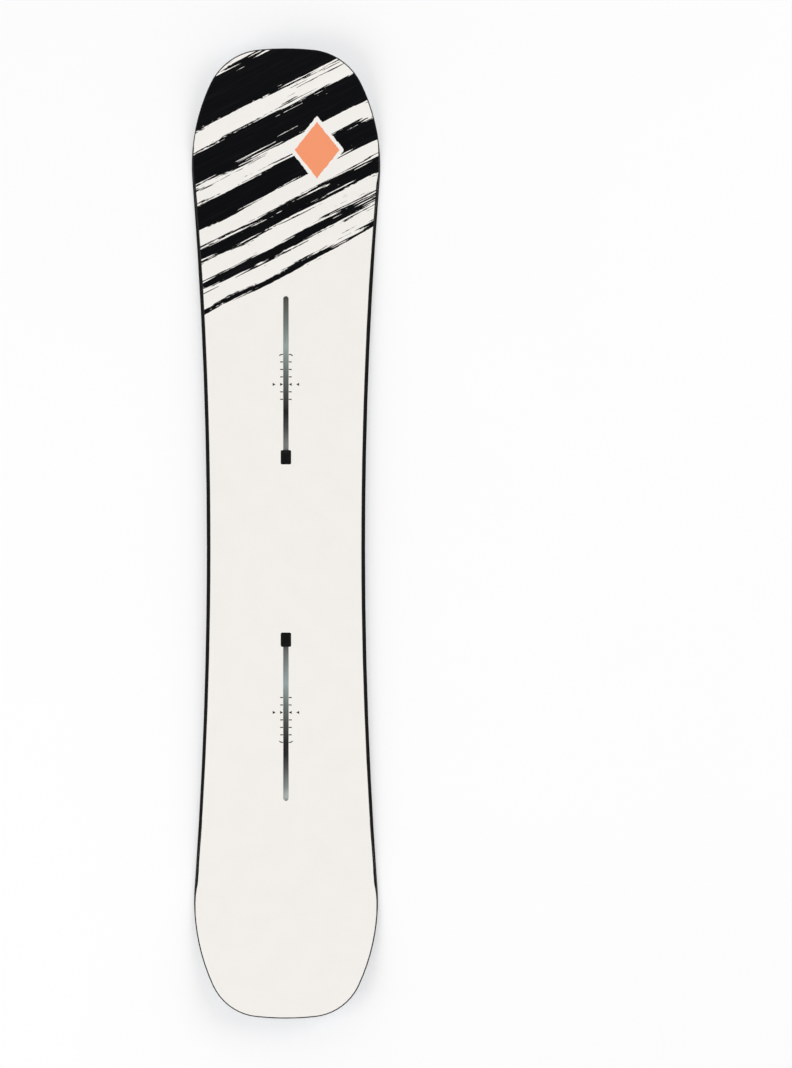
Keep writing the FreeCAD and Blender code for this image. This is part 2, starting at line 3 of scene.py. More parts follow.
import bpy
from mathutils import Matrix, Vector


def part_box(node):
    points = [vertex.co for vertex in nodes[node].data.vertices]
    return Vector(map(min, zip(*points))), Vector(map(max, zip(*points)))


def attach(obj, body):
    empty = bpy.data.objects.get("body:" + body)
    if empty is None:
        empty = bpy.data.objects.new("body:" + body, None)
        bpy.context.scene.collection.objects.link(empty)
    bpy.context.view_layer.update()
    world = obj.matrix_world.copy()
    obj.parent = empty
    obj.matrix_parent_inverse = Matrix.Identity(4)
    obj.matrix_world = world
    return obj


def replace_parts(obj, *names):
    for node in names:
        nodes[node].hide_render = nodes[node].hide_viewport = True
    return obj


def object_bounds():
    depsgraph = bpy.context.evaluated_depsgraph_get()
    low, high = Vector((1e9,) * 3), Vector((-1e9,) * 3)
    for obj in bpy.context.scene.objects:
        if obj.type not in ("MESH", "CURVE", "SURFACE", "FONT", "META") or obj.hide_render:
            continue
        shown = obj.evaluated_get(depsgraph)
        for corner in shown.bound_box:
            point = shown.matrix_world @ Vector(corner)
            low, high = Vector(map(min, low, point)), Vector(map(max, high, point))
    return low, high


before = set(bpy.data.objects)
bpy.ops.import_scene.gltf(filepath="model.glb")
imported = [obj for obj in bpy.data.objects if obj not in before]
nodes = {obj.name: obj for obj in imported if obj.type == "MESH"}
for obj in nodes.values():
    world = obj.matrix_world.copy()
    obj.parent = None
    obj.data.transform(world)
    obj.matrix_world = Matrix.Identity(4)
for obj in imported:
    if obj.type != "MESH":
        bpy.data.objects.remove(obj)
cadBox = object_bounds()
print("deck frame loaded:", len(nodes), "nodes")


def tint(red, green, blue):  # a colour as a paint chart gives it, 0 to 255
    def straight(share):
        return share / 12.92 if share <= 0.04045 else ((share + 0.055) / 1.055) ** 2.4
    return (straight(red / 255), straight(green / 255), straight(blue / 255), 1.0)


def grey(level):
    return (level, level, level, 1.0)


# One socket of a material. Sums are written as Python, and every node comes from node().
class Wire:
    def __init__(self, tree, socket=None):
        self.tree, self.socket = tree, socket

    def join(self, entry, value):
        if isinstance(value, Wire):
            self.tree.links.new(value.socket, entry)
        else:
            entry.default_value = value

    def node(self, kind, settings=None, sockets=None, out=0):
        made = self.tree.nodes.new(kind)
        for name, value in (settings or {}).items():
            if name == "stops":
                ramp = made.color_ramp.elements
                while len(ramp) < len(value):
                    ramp.new(1.0)
                for stop, (place, colour) in zip(ramp, value):
                    stop.position, stop.color = place, colour
            else:
                setattr(made, name, value)
        for name, value in (sockets or {}).items():
            self.join(made.inputs[name], value)
        return Wire(self.tree, made.outputs[out])

    def maths(self, operation, *values):
        return self.node("ShaderNodeMath", {"operation": operation}, dict(enumerate(values)))

    def __add__(self, other):
        return self.maths("ADD", self, other)

    def __radd__(self, other):
        return self.maths("ADD", other, self)

    def __sub__(self, other):
        return self.maths("SUBTRACT", self, other)

    def __rsub__(self, other):
        return self.maths("SUBTRACT", other, self)

    def __mul__(self, other):
        return self.maths("MULTIPLY", self, other)

    def __rmul__(self, other):
        return self.maths("MULTIPLY", other, self)

    def __truediv__(self, other):
        return self.maths("DIVIDE", self, other)

    def __rtruediv__(self, other):
        return self.maths("DIVIDE", other, self)

    def __abs__(self):
        return self.maths("ABSOLUTE", self)

    def most(self, other):
        return self.maths("MAXIMUM", self, other)

    def rise(self, low, high):  # 0 below low, 1 above high, eased between
        eased = {"interpolation_type": "SMOOTHSTEP"}
        return self.node("ShaderNodeMapRange", eased, {0: self, 1: low, 2: high})

    def split(self):
        first = self.node("ShaderNodeSeparateXYZ", None, {0: self})
        return [Wire(self.tree, entry) for entry in first.socket.node.outputs]

    def noise(self, stretch, detail=2.0, shift=0.0):  # clouds, stretch is their turns in a metre
        spot = self.node("ShaderNodeVectorMath", {"operation": "MULTIPLY_ADD"},
                         {0: self, 1: stretch, 2: (shift, shift, shift)})
        return self.node("ShaderNodeTexNoise", None, {"Vector": spot, "Scale": 1.0, "Detail": detail})

    # Colour under where the mask is 0, over where it is 1. A colour Mix has its colours at 6 and 7.
    def paint(self, under, over):
        return self.node("ShaderNodeMix", {"data_type": "RGBA"}, {0: self, 6: under, 7: over}, out=2)

    def relief(self, height):  # bump of that height in metres
        return self.node("ShaderNodeBump", None, {"Strength": 1.0, "Distance": height, "Height": self})


def makeFinish(name, fixed, look):
    material = bpy.data.materials.new(name)
    material.use_nodes = True
    shader = material.node_tree.nodes["Principled BSDF"]
    start = Wire(material.node_tree)
    for entry, value in {**fixed, **look(start)}.items():
        start.join(shader.inputs[entry], value)
    return material


def objectPlace(start):
    return start.node("ShaderNodeTexCoord", out="Object")


def facingUp(start):  # 1 on faces that look up, 0 on walls, -1 on faces that look down
    return start.node("ShaderNodeNewGeometry", out="Normal").split()[2]


def dress(finish, *names):
    for name in names:
        mesh = nodes[name].data
        mesh.materials.clear()
        mesh.materials.append(finish)


flatness = (0.66, 0.84)  # how far a face looks up or down where a machined rim turns into a flat face


def cutFace(start):  # 1 on machined rims and slot walls, 0 on the faces that lie flat
    return 1 - abs(facingUp(start)).rise(*flatness)


# Ink laid with a broad dry brush: bars across a surface, with frayed edges and streaks along the stroke.
strokeParts = {
    "wander": (4.0, 2.5, 1.0), "streak": (11.0, 330.0, 1.0), "patch": (7.0, 16.0, 1.0),
    "speck": (130.0, 420.0, 1.0), "speckReach": 0.006, "leastFray": 0.35, "softness": 0.0004,
    "dryFrom": -0.02, "dryTo": 0.22,
}


def brushInk(start, x, y, brush):
    part, soft = strokeParts, strokeParts["softness"]
    slant = math.radians(brush["slant"])
    along = x * math.cos(slant) + y * math.sin(slant)
    across = y * math.cos(slant) - x * math.sin(slant)
    stroke = start.node("ShaderNodeCombineXYZ", None, {0: along, 1: across, 2: brush["seed"]})
    wander = stroke.noise(part["wander"], 1.0) - 0.5
    waver = across + wander * brush["wander"]
    depth = None
    for middle, half in brush["bars"]:
        bar = half - abs(waver - middle)
        depth = bar if depth is None else depth.most(bar)
    streak = stroke.noise(part["streak"], 5.0) - 0.5
    patch = stroke.noise(part["patch"], 2.0, 4.0).rise(0.44, 0.62)
    fray = brush["fray"] * (part["leastFray"] + patch)
    speck = (stroke.noise(part["speck"], 2.0, 9.0) - 0.5) * part["speckReach"]
    inked = (depth + streak * fray + speck).rise(-soft, soft)
    return inked, streak


def inkTone(streak, colours):  # full black, greyer where the brush ran dry
    dry = streak.rise(strokeParts["dryFrom"], strokeParts["dryTo"])
    return dry.paint(tint(*colours["black"]), tint(*colours["dryBlack"]))


def gemLean(x, y, gem):  # grows from the middle of the diamond, reaching gem["reach"] at its outline
    return abs(x - gem["x"]) * gem["steep"] + abs(y - gem["y"])


# Topsheet: off-white print with slanted brush bars over the nose and one orange diamond.
topPrint = {
    "ground": (241, 238, 233), "groundPale": (243, 240, 235),
    "black": (3, 4, 6), "dryBlack": (15, 15, 19),
    "orange": (246, 154, 112),
    "cutEdge": (14, 13, 14),
    "brush": {
        "slant": 27.0, "seed": 3.0, "wander": 0.03, "fray": 0.055,
        "bars": [  # middle and half width of each bar, measured across the stroke
            (0.700, 0.037), (0.608, 0.026), (0.536, 0.019),
            (0.478, 0.0125), (0.430, 0.008), (0.392, 0.0042),
        ],
    },
    "diamond": {"x": 0.052, "y": 0.642, "reach": 0.047, "steep": 1.25, "margin": 0.010},
    "diamondRough": 0.006, "diamondSoft": 0.0004,
}


def topLook(start):
    place = objectPlace(start)
    x, y = place.split()[:2]
    inked, streak = brushInk(start, x, y, topPrint["brush"])
    gem, soft = topPrint["diamond"], topPrint["diamondSoft"]
    lean = gemLean(x, y, gem)
    rough = (place.noise((160.0, 160.0, 1.0), 3.0) - 0.5) * topPrint["diamondRough"]
    inGem = (gem["reach"] - lean + rough).rise(-soft, soft)
    nearGem = (gem["reach"] + gem["margin"] - lean + rough).rise(-soft, soft)
    black = inked * (1 - nearGem)
    cloud = place.noise((22.0, 22.0, 1.0), 3.0) * 0.5 + place.noise((420.0, 420.0, 1.0), 2.0, 7.0) * 0.5
    ground = cloud.rise(0.38, 0.62).paint(tint(*topPrint["groundPale"]), tint(*topPrint["ground"]))
    printed = inGem.paint(black.paint(ground, inkTone(streak, topPrint)), tint(*topPrint["orange"]))
    grain = place.noise((1300.0, 1300.0, 1300.0), 2.0)
    film = black.most(inGem)
    return {
        "Base Color": cutFace(start).paint(printed, tint(*topPrint["cutEdge"])),
        "Roughness": 0.4 + (grain - 0.5) * 0.16 + film * 0.04,
        "Normal": (grain * 0.35 + film * 0.3).relief(0.00002),
    }


# Base: pale sintered sheet with two brushed stripes and a plain pale diamond, stone ground along its length.
basePrint = {
    "ground": (190, 202, 214), "groundPale": (193, 205, 216),
    "black": (3, 4, 6), "dryBlack": (14, 15, 18),
    "gemTint": (246, 248, 251),
    "brush": {
        "slant": 0.0, "seed": 8.0, "wander": 0.02, "fray": 0.06,
        "bars": [(0.510, 0.0305), (0.4125, 0.031)],
    },
    "diamond": {"x": 0.0, "y": 0.652, "reach": 0.052, "steep": 1.3},
    "diamondSoft": 0.0003,
    "crossSlant": 0.09,  # the second pass of the grinder runs a little aslant
}


def baseLook(start):
    place = objectPlace(start)
    x, y = place.split()[:2]
    inked, streak = brushInk(start, x, y, basePrint["brush"])
    gem, soft = basePrint["diamond"], basePrint["diamondSoft"]
    inGem = (gem["reach"] - gemLean(x, y, gem)).rise(-soft, soft)
    cloud = place.noise((30.0, 14.0, 1.0), 4.0)
    ground = cloud.rise(0.3, 0.7).paint(tint(*basePrint["ground"]), tint(*basePrint["groundPale"]))
    plain = inGem.paint(ground, tint(*basePrint["gemTint"]))
    colour = inked.paint(plain, inkTone(streak, basePrint))
    groove = place.noise((1500.0, 5.0, 1.0), 3.0)
    aslant = start.node("ShaderNodeCombineXYZ", None, {0: x + y * basePrint["crossSlant"], 1: y, 2: 2.0})
    cross = aslant.noise((1100.0, 4.0, 1.0), 2.0)
    return {
        "Base Color": colour,
        "Roughness": 0.3 + groove * 0.22,
        "Normal": (groove * 0.6 + cross * 0.4).relief(0.000045),
    }


# Steel edges: blackened on the ledge beside the sidewall, ground paler on the side and base faces.
steelParts = {"skin": (34, 34, 36), "ground": (92, 94, 97), "worn": (138, 140, 143)}


def steelLook(start):
    place = objectPlace(start)
    ledge = facingUp(start).rise(0.45, 0.85)
    grind = place.noise((45.0, 14.0, 2600.0), 3.0)
    blotch = place.noise((60.0, 26.0, 60.0), 3.0, 5.0)
    bright = grind.rise(0.35, 0.65).paint(tint(*steelParts["ground"]), tint(*steelParts["worn"]))
    return {
        "Base Color": ledge.paint(bright, tint(*steelParts["skin"])),
        "Roughness": 0.24 + grind * 0.16 + blotch * 0.1 + ledge * 0.14,
        "Normal": grind.relief(0.00002),
    }


# Sidewalls: black plastic, machined lengthwise, a little paler where the cutter left it dull.
sidewallParts = {"body": (6, 5, 5), "dull": (34, 31, 32)}


def sidewallLook(start):
    place = objectPlace(start)
    cutter = place.noise((260.0, 1.6, 2300.0), 3.0)
    lines = cutter.rise(0.48, 0.68)
    dull = place.noise((40.0, 6.0, 90.0), 4.0, 2.0).rise(0.45, 0.75)
    marked = lines * (0.25 + dull * 0.5)
    return {
        "Base Color": marked.paint(tint(*sidewallParts["body"]), tint(*sidewallParts["dull"])),
        "Roughness": 0.42 + cutter * 0.2 + dull * 0.1,
        "Normal": cutter.relief(0.00006),
    }


# Channel floor strips: brushed metal with painted reflection bands that run from dark to bright along the
# slot.
stripParts = {
    "low": -0.45, "high": 0.40,
    "lift": 2.35,  # the slot shades its floor, so the metal is that much paler
    "lineTone": 0.82,
    "reflectionBands": [  # place along the deck, and the tone of the painted reflection there
        (-0.446, (180, 187, 183)), (-0.424, (122, 129, 127)), (-0.392, (74, 75, 74)), (-0.371, (32, 33, 32)),
        (-0.350, (32, 33, 32)), (-0.318, (70, 71, 69)), (-0.288, (97, 106, 102)), (-0.251, (141, 154, 153)),
        (-0.190, (92, 93, 92)), (0.148, (118, 120, 118)), (0.176, (64, 65, 64)), (0.203, (24, 25, 23)),
        (0.232, (64, 65, 63)), (0.270, (95, 104, 100)), (0.313, (142, 155, 150)), (0.352, (104, 112, 108)),
        (0.394, (80, 77, 74)),
    ],
}


def stripLook(start):
    place = objectPlace(start)
    brushed = place.noise((1800.0, 30.0, 1800.0), 3.0)
    length = stripParts["high"] - stripParts["low"]
    stops = []
    for spot, tone in stripParts["reflectionBands"]:
        reflectionTone = [share * stripParts["lift"] for share in tint(*tone)[:3]]
        stops.append(((spot - stripParts["low"]) / length, (*reflectionTone, 1.0)))
    along = (place.split()[1] - stripParts["low"]) / length
    # painted reflection: bright and dark bands along the slot stand in for the metal's reflections
    reflectionBands = start.node("ShaderNodeValToRGB", {"stops": stops}, {0: along})
    lines = brushed.rise(0.35, 0.7).paint(grey(1.0), grey(stripParts["lineTone"]))
    times = {"data_type": "RGBA", "blend_type": "MULTIPLY"}
    return {
        "Base Color": start.node("ShaderNodeMix", times, {0: 1.0, 6: reflectionBands, 7: lines}, out=2),
        "Roughness": 0.3 + brushed * 0.2,
        "Normal": brushed.relief(0.00003),
    }


# Rubber plugs and black nylon housings.
rubberParts = {"body": (8, 8, 9), "bloom": (20, 20, 21)}
nylonParts = {"body": (22, 22, 23), "fleck": (36, 36, 38)}


def rubberLook(start):
    place = objectPlace(start)
    skin = place.noise((900.0, 900.0, 900.0), 3.0)
    bloom = place.noise((120.0, 120.0, 120.0), 3.0, 3.0).rise(0.42, 0.75)
    return {
        "Base Color": bloom.paint(tint(*rubberParts["body"]), tint(*rubberParts["bloom"])),
        "Roughness": 0.52 + skin * 0.2,
        "Normal": skin.relief(0.00004),
    }


def nylonLook(start):
    place = objectPlace(start)
    glass = place.noise((500.0, 160.0, 500.0), 4.0)
    return {
        "Base Color": glass.rise(0.4, 0.7).paint(tint(*nylonParts["body"]), tint(*nylonParts["fleck"])),
        "Roughness": 0.5 + glass * 0.2,
        "Normal": glass.relief(0.00003),
    }


# Core and laminate, seen only at the rims and when the deck is taken apart.
coreParts = {
    "poplar": ((196, 168, 120), (222, 199, 154)),
    "beech": ((150, 106, 66), (184, 138, 92)),
    "glass": ((24, 24, 22), (40, 41, 37)),
    "spacer": ((34, 34, 36), (48, 48, 50)),
    "foil": ((20, 20, 21), (32, 32, 34)),
    "alloy": ((168, 171, 174), (206, 208, 210)),
    "tow": 0.0024,  # pitch of the glass fibre weave
}


def woodLook(tones):
    def look(start):
        place = objectPlace(start)
        figure = place.noise((55.0, 2.2, 90.0), 4.0)
        pores = place.noise((900.0, 30.0, 900.0), 2.0, 6.0)
        rings = start.node("ShaderNodeTexWave", {"bands_direction": "X"}, {
            "Vector": place, "Scale": 60.0, "Distortion": 9.0, "Detail": 2.0, "Detail Scale": 0.4,
        })
        tone = figure.rise(0.3, 0.7) * 0.6 + rings * 0.4
        return {
            "Base Color": (tone * (0.7 + pores * 0.5)).paint(tint(*tones[0]), tint(*tones[1])),
            "Roughness": 0.55 + pores * 0.25,
            "Normal": (pores * 0.6 + figure * 0.4).relief(0.00008),
        }
    return look


def glassLook(start):
    place = objectPlace(start)
    x, y = place.split()[:2]
    tows = 1 / coreParts["tow"]  # in a metre
    rightward = start.maths("PINGPONG", (x + y) * tows, 1.0)
    leftward = start.maths("PINGPONG", (x - y) * tows, 1.0)
    weave = rightward * leftward
    low, high = coreParts["glass"]
    return {
        "Base Color": weave.paint(tint(*low), tint(*high)),
        "Roughness": 0.35 + weave * 0.2,
        "Normal": weave.relief(0.00006),
    }


def mouldedLook(tones, size, depth):
    def look(start):
        place = objectPlace(start)
        skin = place.noise((size, size * 0.5, size), 3.0)
        return {
            "Base Color": skin.rise(0.35, 0.7).paint(tint(*tones[0]), tint(*tones[1])),
            "Roughness": 0.42 + skin * 0.24,
            "Normal": skin.relief(depth),
        }
    return look


matt = {"Specular IOR Level": 0.14}
topFinish = makeFinish("topsheetPrint", {"Specular IOR Level": 0.07}, topLook)
baseFinish = makeFinish("sinteredBase", {"Specular IOR Level": 0.16}, baseLook)
steelFinish = makeFinish("edgeSteel", {"Metallic": 1.0}, steelLook)
sidewallFinish = makeFinish("sidewallBlack", {"Specular IOR Level": 0.06}, sidewallLook)
stripFinish = makeFinish("channelStrip", {"Metallic": 0.35, "Specular IOR Level": 0.3}, stripLook)
rubberFinish = makeFinish("plugRubber", {"Specular IOR Level": 0.12}, rubberLook)
nylonFinish = makeFinish("channelNylon", {"Specular IOR Level": 0.2}, nylonLook)
alloyFinish = makeFinish("railAlloy", {"Metallic": 1.0}, mouldedLook(coreParts["alloy"], 900.0, 0.00002))
spacerLook = mouldedLook(coreParts["spacer"], 300.0, 0.00003)
spacerFinish = makeFinish("tipSpacer", {"Specular IOR Level": 0.22}, spacerLook)
foilFinish = makeFinish("edgeFoil", matt, mouldedLook(coreParts["foil"], 500.0, 0.00002))
glassFinish = makeFinish("glassPly", {"Specular IOR Level": 0.35}, glassLook)
poplarFinish = makeFinish("poplarStrip", matt, woodLook(coreParts["poplar"]))
beechFinish = makeFinish("beechStrip", matt, woodLook(coreParts["beech"]))

dress(topFinish, "topsheet")
dress(baseFinish, "base_sheet")
dress(steelFinish, "edge_heel", "edge_toe")
dress(foilFinish, "edge_foil_heel", "edge_foil_toe")
dress(glassFinish, "lower_glass_inner", "lower_glass_outer", "upper_glass")
dress(sidewallFinish, "sidewall_heel", "sidewall_toe")
dress(spacerFinish, "nose_spacer", "tail_spacer")
for end in ("front", "rear"):
    dress(nylonFinish, f"{end}_channel_housing")
    dress(alloyFinish, f"{end}_channel_rail_heel", f"{end}_channel_rail_toe")
    dress(stripFinish, f"{end}_channel_floor_strip")
    dress(rubberFinish, f"{end}_plug")
for name in sorted(nodes):
    if name.startswith("core_stringer"):
        dress(beechFinish if name.endswith(("1", "3", "5")) else poplarFinish, name)  # every other strip
print("finishes laid on the frame")


# Quads between two rings of points, for rings stacked upward and for rings that follow a line.
def wallUp(low, high, count):
    return [[low + i, low + (i + 1) % count, high + (i + 1) % count, high + i] for i in range(count)]


def wallAlong(near, far, count):
    return [[near + i, far + i, far + (i + 1) % count, near + (i + 1) % count] for i in range(count)]


def addPiece(name, points, faces, finish, smooth=None):  # smooth shading up to that many degrees
    mesh = bpy.data.meshes.new(name)
    mesh.from_pydata(points, [], faces)
    mesh.validate()
    mesh.update()
    if smooth:
        mesh.shade_smooth()
        mesh.set_sharp_from_angle(angle=math.radians(smooth))
    piece = bpy.data.objects.new(name, mesh)
    bpy.context.scene.collection.objects.link(piece)
    piece.data.materials.append(finish)
    return piece


# Stance marks: a row of ticks beside each slot, and small triangles at the reference place.
markParts = {
    "slotHalf": 0.0045, "slotGap": 0.0002, "tickEnd": 0.0090,
    "hookStart": 0.9, "hookEnd": 0.0106, "hookDrop": 0.0017,
    "thick": 0.0017, "step": 0.0125, "outward": 4, "inward": 2,
    "triangle": 0.0048, "triangleHalf": 0.55, "innerRow": 0.0073, "outerRow": 0.0197,
    "proud": 0.00008, "sunk": 0.00005, "reference": {"front": 0.2496, "rear": -0.2994},
}
markInk = {"ink": (12, 12, 14), "worn": (26, 26, 29)}


def markLook(start):
    place = objectPlace(start)
    wear = place.noise((900.0, 900.0, 1.0), 3.0).rise(0.45, 0.75)
    return {
        "Base Color": wear.paint(tint(*markInk["ink"]), tint(*markInk["worn"])),
        "Roughness": 0.42 + wear * 0.12,
        "Normal": wear.relief(0.00001),
    }


lookFrom = 0.2  # well above the deck


def topHeight(x, y):  # how high the topsheet lies at that place
    hit, spot = nodes["topsheet"].ray_cast(Vector((x, y, lookFrom)), Vector((0, 0, -1)))[:2]
    return spot.z if hit else cadBox[1].z


def roundBar(start, end, thick, turns=5):  # outline of a short line with round ends
    ax, ay = start
    bx, by = end
    heading = math.atan2(by - ay, bx - ax)
    outline = []
    for (cx, cy), first in (((bx, by), -0.5), ((ax, ay), 0.5)):
        for turn in range(turns + 1):
            angle = heading + math.pi * (first + turn / turns)
            outline.append((cx + thick / 2 * math.cos(angle), cy + thick / 2 * math.sin(angle)))
    return outline


def order(outline):  # counterclockwise, so that the faces look outward
    area = sum(a[0] * b[1] - b[0] * a[1] for a, b in zip(outline, outline[1:] + outline[:1]))
    return outline if area > 0 else outline[::-1]


def layMarks(name, middle, outward, body):
    part, points, faces = markParts, [], []

    def press(outline):
        outline = order(outline)
        first, count = len(points), len(outline)
        for level in (-part["sunk"], part["proud"]):
            points.extend((x, y, topHeight(x, y) + level) for x, y in outline)
        faces.append([first + i for i in reversed(range(count))])
        faces.append([first + count + i for i in range(count)])
        faces.extend(wallUp(first, first + count, count))

    for side in (-1, 1):
        for count in range(-part["inward"], part["outward"] + 1):
            if count == 0:  # the triangles mark this place
                continue
            y = middle + outward * count * part["step"]
            inner = (side * (part["slotHalf"] + part["thick"] / 2 + part["slotGap"]), y)
            outer = (side * part["tickEnd"], y)
            if count == part["outward"]:  # the last tick ends in a hook
                outer = (side * part["tickEnd"] * part["hookStart"], y)
                hooked = (side * part["hookEnd"], y - outward * part["hookDrop"])
                press(roundBar(outer, hooked, part["thick"]))
            press(roundBar(inner, outer, part["thick"]))
        size = part["triangle"]
        half = size * part["triangleHalf"]
        for row in (part["innerRow"], part["outerRow"]):
            back = side * (row + size / 2)
            press([(side * (row - size / 2), middle), (back, middle + half), (back, middle - half)])
    marks = addPiece(name, points, faces, markFinish)
    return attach(marks, body)


markFinish = makeFinish("stanceInk", {"Specular IOR Level": 0.15}, markLook)
bpy.context.view_layer.update()
layMarks("front_stance_marks", markParts["reference"]["front"], 1, "deck")
layMarks("rear_stance_marks", markParts["reference"]["rear"], -1, "deck")
print("stance marks laid")


# Rim seals: a rolled dark bead on the topsheet's routed edge round the nose and the tail.
sealParts = {
    "inset": 0.00002, "proud": 0.00007, "sunk": 0.00010, "lip": 0.00001, "shoulder": 0.18,
    "pitch": 0.005, "flatFrom": 0.85, "smooth": 50.0,
    "nose": (  # how far along the deck, and how wide the bead is there
        (0.470, 0.0002), (0.500, 0.0005), (0.560, 0.0024), (0.586, 0.0025),
        (0.604, 0.0003), (0.622, 0.0003), (0.645, 0.0010), (0.820, 0.0012),
    ),
    "tail": (
        (0.478, 0.0002), (0.520, 0.0013), (0.568, 0.0035), (0.585, 0.0034),
        (0.605, 0.0010), (0.620, 0.0007), (0.645, 0.0013), (0.820, 0.0012),
    ),
    "tone": (13, 13, 14), "rubbed": (32, 32, 34),
}


def sealLook(start):
    place = objectPlace(start)
    wear = place.noise((240.0, 240.0, 240.0), 4.0).rise(0.4, 0.75)
    return {
        "Base Color": wear.paint(tint(*sealParts["tone"]), tint(*sealParts["rubbed"])),
        "Roughness": 0.4 + wear * 0.25,
        "Normal": wear.relief(0.00002),
    }


def sheetRim():  # corners of the topsheet's upper face, in order along its outer edge
    mesh = nodes["topsheet"].data
    sides = {}  # kept in the order found
    for face in mesh.polygons:
        if face.normal.z < sealParts["flatFrom"]:
            continue
        corners = [tuple(round(length, 6) for length in mesh.vertices[i].co) for i in face.vertices]
        sides.update(dict.fromkeys(zip(corners, corners[1:] + corners[:1])))
    onward = {a: b for a, b in sides if (b, a) not in sides}  # a side that no other face shares
    rims = []
    while onward:
        first, after = onward.popitem()
        rim = [first]
        while after in onward:
            rim.append(after)
            after = onward.pop(after)
        rims.append([Vector(corner) for corner in rim])

    def reach(rim):
        along = [corner.y for corner in rim]
        return max(along) - min(along)
    return max(rims, key=reach)


def sealWidth(steps, y):  # None where there is no seal
    for (low, before), (high, after) in zip(steps, steps[1:]):
        if low <= abs(y) <= high:
            return before + (after - before) * (abs(y) - low) / (high - low)
    return None


def rollSeal(name, end, steps, body):
    part, rim = sealParts, sheetRim()
    bead = [  # share of the width, from the rim inward, and height over the topsheet
        (0.0, -part["sunk"]), (0.0, 0.0), (part["shoulder"], part["proud"]),
        (1 - part["shoulder"], part["proud"]), (1.0, part["lip"]), (1.0, -part["sunk"]),
    ]
    line = []
    for a, b in zip(rim, rim[1:] + rim[:1]):
        count = max(1, math.ceil((b - a).length / part["pitch"]))
        line += [a.lerp(b, i / count) for i in range(count)]
    starts = [i for i, spot in enumerate(line) if spot.y * end < steps[0][0]]
    line = line[starts[-1]:] + line[:starts[-1]]  # begins away from the end being sealed
    points, faces, rows = [], [], []
    for i, spot in enumerate(line):
        width = sealWidth(steps, spot.y) if spot.y * end > 0 else None
        if width is None:
            continue
        run = (line[(i + 1) % len(line)] - line[i - 1]).xy.normalized()
        inward = Vector((-run.y, run.x))
        rows.append(len(points))
        for share, lift in bead:
            place = spot.xy + inward * (part["inset"] + width * share)
            level = spot.z if share == 0 else topHeight(place.x, place.y)
            points.append((place.x, place.y, level + lift))
    for near, far in zip(rows, rows[1:]):
        faces.extend(wallAlong(near, far, len(bead)))
    faces.append([rows[0] + i for i in range(len(bead))])
    faces.append([rows[-1] + i for i in reversed(range(len(bead)))])
    seal = addPiece(name, points, faces, sealFinish, part["smooth"])
    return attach(seal, body)


sealFinish = makeFinish("rimSeal", {"Specular IOR Level": 0.15}, sealLook)
rollSeal("nose_rim_seal", 1, sealParts["nose"], "deck")
rollSeal("tail_rim_seal", -1, sealParts["tail"], "deck")
print("rims sealed")


# Plugs: a moulded cap with a rolled rim, a dished face and a ribbed grip, on a stem that fills the port.
plugParts = {
    "corner": 0.0030, "turns": 8, "cornerEase": 0.6, "leastCorner": 0.0006, "smooth": 38.0,
    "stemIn": 0.0019, "capDeep": 0.00215, "stemCorner": 0.0014, "footIn": 0.0005, "footHigh": 0.0006,
    "roll": 0.0007, "rollTurns": 5, "rim": 0.0013, "dish": 0.00035,
    "slope": [(0.0, 0.0), (0.0003, 0.25), (0.0006, 0.8), (0.0009, 1.0)],  # run inward, share of the dish
    "dishIn": 0.0030, "dishCorner": 0.6,
    "ribs": 5, "ribStep": 0.0022, "ribLong": 0.0070, "ribWide": 0.0011,
    "ribProud": 0.00028, "ribSunk": 0.0002, "ribPinch": 0.15,
}


def ringOf(halfX, halfY, corner, turns):
    ring = []
    for quarter in range(4):
        cx = (halfX - corner) * (1 if quarter in (0, 3) else -1)
        cy = (halfY - corner) * (1 if quarter in (0, 1) else -1)
        for turn in range(turns + 1):
            angle = math.pi / 2 * (quarter + turn / turns)
            ring.append((cx + corner * math.cos(angle), cy + corner * math.sin(angle)))
    return ring


